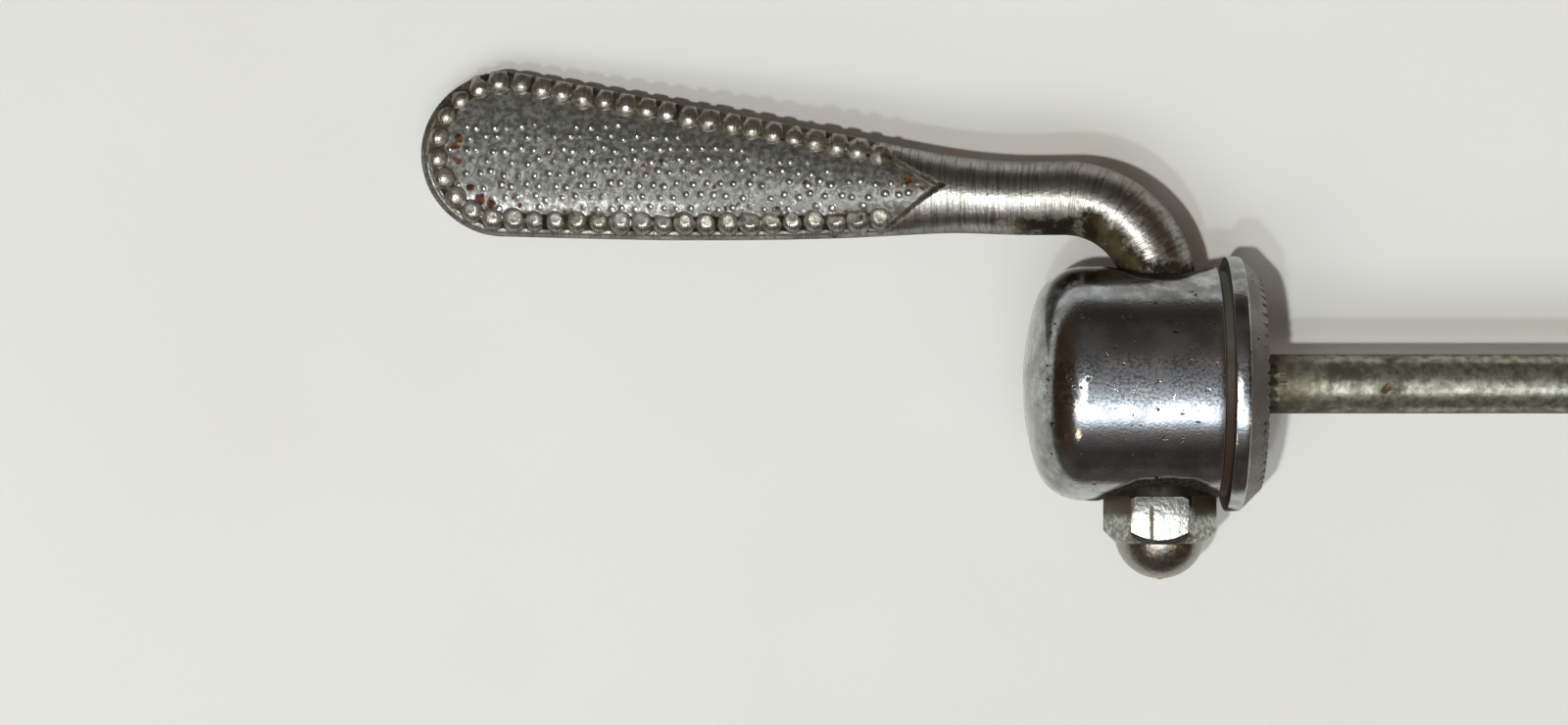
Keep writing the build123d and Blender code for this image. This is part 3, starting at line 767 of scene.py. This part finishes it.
# The bend and the stub that goes down into the housing, as more sections of the round arm
ring_out, ring_z = arm_radius * np.sin(round_turns), arm_radius * np.cos(round_turns)
bend_rows = [(-ring_out, np.full(section_size, stub_y), ring_z, 90.0) for stub_y in (5.0, 6.2)]
for turn in np.linspace(90, 0, 46)[:-1]:
    lean = radians(turn)
    out = bend_radius + ring_out
    offset = arm_offset - bend_radius + out * cos(lean)
    bend_rows.append((bend_radius - out * sin(lean), offset, ring_z, turn))
bend_reach, bend_y, bend_z, bend_turns = (np.array(values) for values in zip(*bend_rows))
bend_turns = bend_turns[:, None]
all_reach = np.concatenate([bend_reach, np.broadcast_to(reach, section_y.shape)])
all_y = np.concatenate([bend_y, section_y])
all_z = np.concatenate([bend_z, section_z])
inner = step_up(np.sin(round_turns), 0.25, -0.55)[None, :]
# Painted shade where the stub goes into the housing, beside the grime of the inner bend.
shade_at_housing = step_up(bend_y, 10.9, 9.5)
bend_grime_and_shade = np.maximum(inner * step_up(bend_turns, -8.0, 26.0) * 0.9, 0.75 * shade_at_housing)
bend_grime_and_shade = np.maximum(bend_grime_and_shade, arm_grime[:1])
bend_grime_and_shade = np.maximum(bend_grime_and_shade, 0.30 * step_up(bend_turns, 8.0, 45.0))
plain_bend = np.zeros(bend_grime_and_shade.shape)
round_bend = np.broadcast_to(bend_radius - np.radians(bend_turns) * 9.0, bend_grime_and_shade.shape)
kept_values = {
    "grime_and_shade": np.concatenate([bend_grime_and_shade, grime_and_shade]),
    "field": np.concatenate([plain_bend, field_share]),
    "rust": np.concatenate([plain_bend, rust_patch]),
    "rub": np.concatenate([plain_bend, rub]),
    "bead": np.concatenate([plain_bend, bead_share]),
    "along": np.concatenate([round_bend, np.broadcast_to(reach, grime_and_shade.shape)]),
    "round": np.broadcast_to(np.degrees(round_turns)[None, :] / 20.0, all_y.shape),
}


def lever_place(reach, offset, height):
    """Turns places on the level lever about its shaft to where it droops."""
    x, z = -np.asarray(reach), np.asarray(height)
    return np.column_stack([
        (shaft_x + x * cos(droop) - z * sin(droop)).ravel() * mm,
        np.asarray(offset).ravel() * mm,
        (x * sin(droop) + z * cos(droop)).ravel() * mm,
    ])


rows = all_y.shape[0]
index = np.arange(rows * section_size).reshape(rows, section_size)
beside = np.roll(index, -1, axis=1)
quads = np.stack([index[:-1], index[1:], beside[1:], beside[:-1]], axis=2).reshape(-1, 4)
mesh = bpy.data.meshes.new("lever_forging")
faces = [tuple(quad) for quad in quads.tolist()]
faces += [tuple(index[0].tolist()), tuple(index[-1][::-1].tolist())]
mesh.from_pydata(lever_place(all_reach, all_y, all_z).tolist(), [], faces)
for name, values in kept_values.items():
    layer = mesh.attributes.new(name, "FLOAT", "POINT")
    layer.data.foreach_set("value", np.ascontiguousarray(values).ravel())
forging = placed("lever_forging", mesh)
bpy.ops.object.mode_set(mode="EDIT")
bpy.ops.mesh.select_all(action="SELECT")
bpy.ops.mesh.normals_make_consistent(inside=False)
bpy.ops.object.mode_set(mode="OBJECT")
smooth(forging, 60)

# The shaft under the arm, with its two journals, the cam between them and the end for the cap nut
cam_half = 2.75
cam_radius = 2.55
cam_throw = 0.9
thin_end = [
    (-13.2, 0), (-13.2, 2.2), (-12.9, 2.45), (-8.0, 2.45), (-8.0, 2.85), (-cam_half, 2.85), (-cam_half, 0),
]
thick_end = [(cam_half, 0), (cam_half, 3.55), (8.65, 3.55), (8.8, 3.4), (8.8, 0)]
cam_profile = [(-cam_half, 0), (-cam_half, cam_radius), (cam_half, cam_radius), (cam_half, 0)]
cam_x, cam_z = shaft_x + cam_throw * sin(droop), -cam_throw * cos(droop)
shaft = turned("shaft", thin_end, 64, (shaft_x, 0, 0), (0, 1, 0))
journal = turned("journal", thick_end, 64, (shaft_x, 0, 0), (0, 1, 0))
cam = turned("cam", cam_profile, 64, (cam_x, 0, cam_z), (0, 1, 0))
shaft_wear = {"grime_and_shade": 0.9, "rust": 0.2}
for piece in (shaft, journal, cam):
    smooth(piece, 40)
    for name in kept_values:
        layer = piece.data.attributes.new(name, "FLOAT", "POINT")
        layer.data.foreach_set("value", [shaft_wear.get(name, 0.0)] * len(piece.data.vertices))
only(forging)
for piece in (shaft, journal, cam):
    piece.select_set(True)
bpy.ops.object.join()


def kept_value(tree, name):
    """A value that the mesh keeps at its points."""
    return add_node(tree, "ShaderNodeAttribute", attribute_name=name).outputs["Fac"]


nickel, tree = new_finish("worn_nickel")
place = add_node(tree, "ShaderNodeTexCoord").outputs["Object"]
in_field = kept_value(tree, "field")
around = add_node(tree, "ShaderNodeCombineXYZ", {0: kept_value(tree, "along"), 1: kept_value(tree, "round")})
stretched = add_node(tree, "ShaderNodeMapping", {"Vector": around.outputs[0], "Scale": (4.2, 0.30, 1.0)})
grinding = noise(tree, stretched.outputs[0], 1.0, 4.0, 0.6)
cloud = noise(tree, place, 260.0, 5.0, 0.62)
grain = noise(tree, place, 2100.0, 4.0, 0.6)
broken = noise(tree, place, 850.0, 6.0, 0.7)
# Grime and painted shade, from the points' values, broken up by a pattern and mixed into the colour.
soiled_and_shaded = plus(tree, kept_value(tree, "grime_and_shade"), swing(tree, broken, 1.7))
soiled_and_shaded = ramp(tree, soiled_and_shaded, 0.30, 0.80)
rust = specks(tree, swayed(tree, place, 2600.0, 0.7), 900.0, share=0.16, size=0.26)
rust = times(tree, rust, in_field)
ragged = minus(tree, plus(tree, grain, times(tree, broken, 1.2)), 1.1)
rusty = plus(tree, kept_value(tree, "rust"), times(tree, ragged, 1.25))
rust = most(tree, rust, ramp(tree, rusty, 0.45, 0.75))
tint = mixed(tree, ramp(tree, cloud, 0.38, 0.66), (0.43, 0.42, 0.40, 1), (0.28, 0.27, 0.247, 1))
dull = mixed(tree, ramp(tree, grain, 0.35, 0.62), (0.172, 0.172, 0.162, 1), (0.072, 0.071, 0.064, 1))
tint = mixed(tree, in_field, tint, dull)
bead_tint = mixed(tree, ramp(tree, grain, 0.35, 0.62), (0.42, 0.408, 0.37, 1), (0.24, 0.222, 0.185, 1))
tint = mixed(tree, kept_value(tree, "bead"), tint, bead_tint)
bared = plus(tree, kept_value(tree, "rub"), swing(tree, grain, 1.2))
bared = ramp(tree, bared, 0.26, 0.72)
tint = mixed(tree, bared, tint, (0.46, 0.455, 0.44, 1))
worn_lines = times(tree, ramp(tree, grinding, 0.34, 0.56, 0.62, 0.0), minus(tree, 1.0, in_field))
tint = mixed(tree, worn_lines, tint, (0.10, 0.095, 0.085, 1))
soil_and_shade_tint = mixed(tree, ramp(tree, cloud, 0.4, 0.6), (0.078, 0.062, 0.032, 1), (0.018, 0.013, 0.007, 1))
tint = mixed(tree, soiled_and_shaded, tint, soil_and_shade_tint)
rust_tint = mixed(tree, ramp(tree, grain, 0.42, 0.60), (0.150, 0.058, 0.019, 1), (0.040, 0.017, 0.008, 1))
tint = mixed(tree, rust, tint, rust_tint)
dulled = times(tree, in_field, minus(tree, 1.0, bared))
gloss = plus(tree, ramp(tree, cloud, 0.3, 0.7, 0.27, 0.38), times(tree, dulled, 0.03))
gloss = minus(tree, gloss, times(tree, kept_value(tree, "bead"), 0.10))
gloss = plus(tree, gloss, times(tree, most(tree, soiled_and_shaded, rust), 0.3))
film = most(tree, times(tree, dulled, 0.60), times(tree, kept_value(tree, "bead"), 0.16))
metal = minus(tree, 1.0, most(tree, film, times(tree, most(tree, soiled_and_shaded, rust), 0.9)))
lines = times(tree, minus(tree, 1.0, in_field), grinding)
pitted = times(tree, grain, 0.62)
dented = times(tree, broken, times(tree, kept_value(tree, "bead"), 0.9))
pitted = plus(tree, pitted, dented)
shine = minus(tree, 0.5, most(tree, times(tree, soiled_and_shaded, 0.40), times(tree, film, 0.25)))
relief = bumped(tree, plus(tree, lines, pitted), strength=0.55, depth=0.10)
finished(tree, tint, metal, gloss, relief, shine, edge=0.45)
forging.data.materials.append(nickel)
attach(forging, "lever")
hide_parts("lever")

# Lock washer: a split ring of spring steel, squeezed between the housing's spot face and the cap nut.
# Its near-black colour is painted shade for the dark pocket it sits in.
# It is coiled from flat wire and cut through, and its cut stands towards the lever.
washer_section = ((2.55, -8.0), (4.4, -8.0), (4.4, -9.1), (2.55, -9.1))
half_split = 0.095


def bevelled(piece, width, degrees):
    """Rounds a body's edges that are sharper than an angle, by a width in millimetres."""
    only(piece)
    edges = piece.modifiers.new("edges", "BEVEL")
    edges.width = width * mm
    edges.segments = 2
    edges.limit_method = "ANGLE"
    edges.angle_limit = radians(degrees)
    bpy.ops.object.modifier_apply(modifier=edges.name)


corners = [
    ((shaft_x - radius * cos(half_split)) * mm, y * mm, radius * sin(half_split) * mm)
    for radius, y in washer_section
]
ring = bpy.data.meshes.new("split_ring")
ring.from_pydata(corners, [], [(0, 1, 2, 3)])
washer = placed("split_ring", ring)
bpy.ops.object.mode_set(mode="EDIT")
bpy.ops.mesh.select_all(action="SELECT")
bpy.ops.mesh.spin(steps=72, angle=2 * pi - 2 * half_split, center=(shaft_x * mm, 0, 0), axis=(0, 1, 0))
bpy.ops.mesh.select_all(action="SELECT")
bpy.ops.mesh.normals_make_consistent(inside=False)
bpy.ops.object.mode_set(mode="OBJECT")
bevelled(washer, 0.08, 30)
smooth(washer, 30)
# Near-black steel: painted shade for the dark pocket round the washer.
black, tree = new_finish("painted_shade_steel")
place = add_node(tree, "ShaderNodeTexCoord").outputs["Object"]
cloud = noise(tree, place, 700.0, 5.0, 0.6)
tint = mixed(tree, ramp(tree, cloud, 0.4, 0.65), (0.030, 0.026, 0.021, 1), (0.012, 0.009, 0.006, 1))
metal = ramp(tree, cloud, 0.4, 0.7, 0.6, 0.2)
gloss = ramp(tree, cloud, 0.3, 0.7, 0.5, 0.75)
finished(tree, tint, metal, gloss, shine=0.12)
washer.data.materials.append(black)
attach(washer, "lever")
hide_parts("lock_washer")

# Cap nut: an M5 acorn nut of bright zinced steel, screwed on the shaft's end over the lock washer.
# Its hexagon is chamfered, and its dome is turned, with a small pip left at the end.
hex_corner = 4.6188
hex_start, hex_end = 9.1, 13.4
hex_turn = radians(4.6)
cap_centre, cap_radius = 12.2, 3.7
block = [(hex_start, 0), (hex_start, hex_corner), (hex_end, hex_corner), (hex_end, 0)]
hexagon = turned("cap_nut", block, 6, (shaft_x, 0, 0), (0, -1, 0), (cos(hex_turn), 0, sin(hex_turn)))
chamfers = [
    (9.0, 0), (9.0, 4.36), (9.1, 4.40), (9.32, 4.66), (11.92, 4.66), (12.62, 3.99), (12.95, 3.64), (12.95, 0),
]
cut(hexagon, turned("crop", chamfers, 120, (shaft_x, 0, 0), (0, -1, 0)), "INTERSECT")
cap = [(11.0, 0), (11.0, 3.3), (12.7, 3.3)] + arc((cap_centre, 0.0), cap_radius, 80, 6, 24)
cap += [(15.87, 0.34), (15.93, 0.27), (15.963, 0.15), (15.97, 0.0)]
cut(hexagon, turned("dome", cap, 96, (shaft_x, 0, 0), (0, -1, 0)), "UNION")
bevelled(hexagon, 0.05, 35)
smooth(hexagon, 32)
bright, tree = new_finish("bright_zinc")
place = add_node(tree, "ShaderNodeTexCoord").outputs["Object"]
parts = add_node(tree, "ShaderNodeSeparateXYZ", {0: place}).outputs
cloud = noise(tree, place, 420.0, 5.0, 0.62)
sparkle = noise(tree, place, 2400.0, 3.0, 0.6)
# Painted shade mixed with dirt: the hexagon's side faces darken towards the washer, where the nut meets the
# housing.
aside = calc(tree, "ABSOLUTE", minus(tree, parts[0], shaft_x * mm))
off_middle = ramp(tree, aside, 2.1 * mm, 2.7 * mm, 0.25, 1.0)
to_washer = times(tree, ramp(tree, parts[1], -12.0 * mm, -9.4 * mm), off_middle)
on_dome = ramp(tree, parts[1], -12.7 * mm, -13.0 * mm)
soiled_and_shaded = plus(tree, most(tree, to_washer, times(tree, on_dome, 0.12)), times(tree, cloud, 0.7))
soiled_and_shaded = ramp(tree, soiled_and_shaded, 0.55, 1.05)
streak = calc(tree, "ABSOLUTE", minus(tree, parts[0], (shaft_x - 0.98) * mm))
streak = times(tree, ramp(tree, streak, 0.08 * mm, 0.26 * mm, 0.95, 0.0), ramp(tree, cloud, 0.28, 0.42))
streak = times(tree, streak, minus(tree, 1.0, on_dome))
soiled_and_shaded = most(tree, soiled_and_shaded, streak)
tint = mixed(tree, ramp(tree, sparkle, 0.4, 0.6), (0.47, 0.48, 0.455, 1), (0.22, 0.225, 0.205, 1))
tint = mixed(tree, on_dome, tint, (0.34, 0.325, 0.30, 1))
tint = mixed(tree, soiled_and_shaded, tint, (0.085, 0.062, 0.038, 1))
gloss = plus(tree, ramp(tree, sparkle, 0.3, 0.7, 0.20, 0.34), times(tree, soiled_and_shaded, 0.25))
metal = minus(tree, 1.0, times(tree, soiled_and_shaded, 0.5))
finished(tree, tint, metal, gloss, bumped(tree, sparkle, strength=0.60, depth=0.06))
hexagon.data.materials.append(bright)
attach(hexagon, "lever")
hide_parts("acorn_nut")

# Spring: a conical coil of spring steel wire, slipped over the rod with its wide end in the adjusting nut's
# mouth. It centres the wheel, and both its ends are cut off plainly.
wire_radius = 0.5
coil_start = 100.8
coil_length = 12.0
coil_turns = 3.5
small_radius, large_radius = 3.075, 5.2
coil = bpy.data.curves.new("cone_coil", "CURVE")
coil.dimensions = "3D"
coil.bevel_depth = wire_radius * mm
coil.bevel_resolution = 3
coil.use_fill_caps = True
wire = coil.splines.new("POLY")
runs = 126
wire.points.add(runs)
for run in range(runs + 1):
    share = run / runs
    turn = 2 * pi * coil_turns * share
    size = small_radius + (large_radius - small_radius) * share
    x = coil_start + coil_length * share
    wire.points[run].co = (x * mm, size * cos(turn) * mm, size * sin(turn) * mm, 1)
spring = placed("cone_coil", coil)
bpy.ops.object.convert(target="MESH")
spring = bpy.context.object
smooth(spring, 50)
drawn, tree = new_finish("drawn_spring_steel")
place = add_node(tree, "ShaderNodeTexCoord").outputs["Object"]
cloud = noise(tree, place, 600.0, 5.0, 0.6)
tint = mixed(tree, ramp(tree, cloud, 0.4, 0.68), (0.36, 0.36, 0.345, 1), (0.15, 0.13, 0.10, 1))
metal = ramp(tree, cloud, 0.45, 0.75, 1.0, 0.55)
gloss = ramp(tree, cloud, 0.3, 0.7, 0.25, 0.45)
finished(tree, tint, metal, gloss)
spring.data.materials.append(drawn)
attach(spring, "spring")
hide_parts("nut_spring")

# Adjusting nut: turned steel, chromed as the housing is, with the same toothed flange and a tapered grip.
# Two finger flats are milled across the grip, and it screws on the rod's thread.
clamp_face = clamp_span
nut_length = 15.0
nut_bore = 2.475
mouth_depth = 3.4
grip_start, grip_radius = 3.0, 8.18
grip_taper = 0.158
flat_start, flat_height = 4.2, 5.5
cutter = (16.0, 26.0, 10.0)
grip = [(mouth_depth, nut_bore), (mouth_depth, bore_radius), (0.2, bore_radius), (0.0, 6.25)]
grip += [(-x, radius) for x, radius in reversed(flange[1:10])]
grip += [(2.84, 8.32), (2.90, 8.22), (grip_start, grip_radius)]
grip += [(x, grip_radius - (x - grip_start) * grip_taper) for x in (5, 7, 9, 11, 13, 14.5)]
grip += [(14.8, 6.28), (nut_length, 6.1), (nut_length, 2.9), (14.6, nut_bore), (mouth_depth, nut_bore)]
grip = [(clamp_face + x, radius) for x, radius in grip]
adjuster = turned("grip_nut", grip, tooth_count * 4)
cut_teeth(adjuster, clamp_face, 1)
for side in (-1, 1):
    cutter_x = clamp_face + flat_start + cutter[0] / 2
    cutter_z = side * (flat_height + cutter[2] / 2)
    bpy.ops.mesh.primitive_cube_add(size=1.0, location=(cutter_x * mm, 0, cutter_z * mm))
    block = bpy.context.object
    block.scale = tuple(side_length * mm for side_length in cutter)
    bpy.ops.object.transform_apply(location=True, rotation=True, scale=True)
    cut(adjuster, block)
smooth(adjuster, 28)
adjuster.data.materials.append(chrome.copy())
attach(adjuster, "nut")
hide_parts("adjusting_nut")
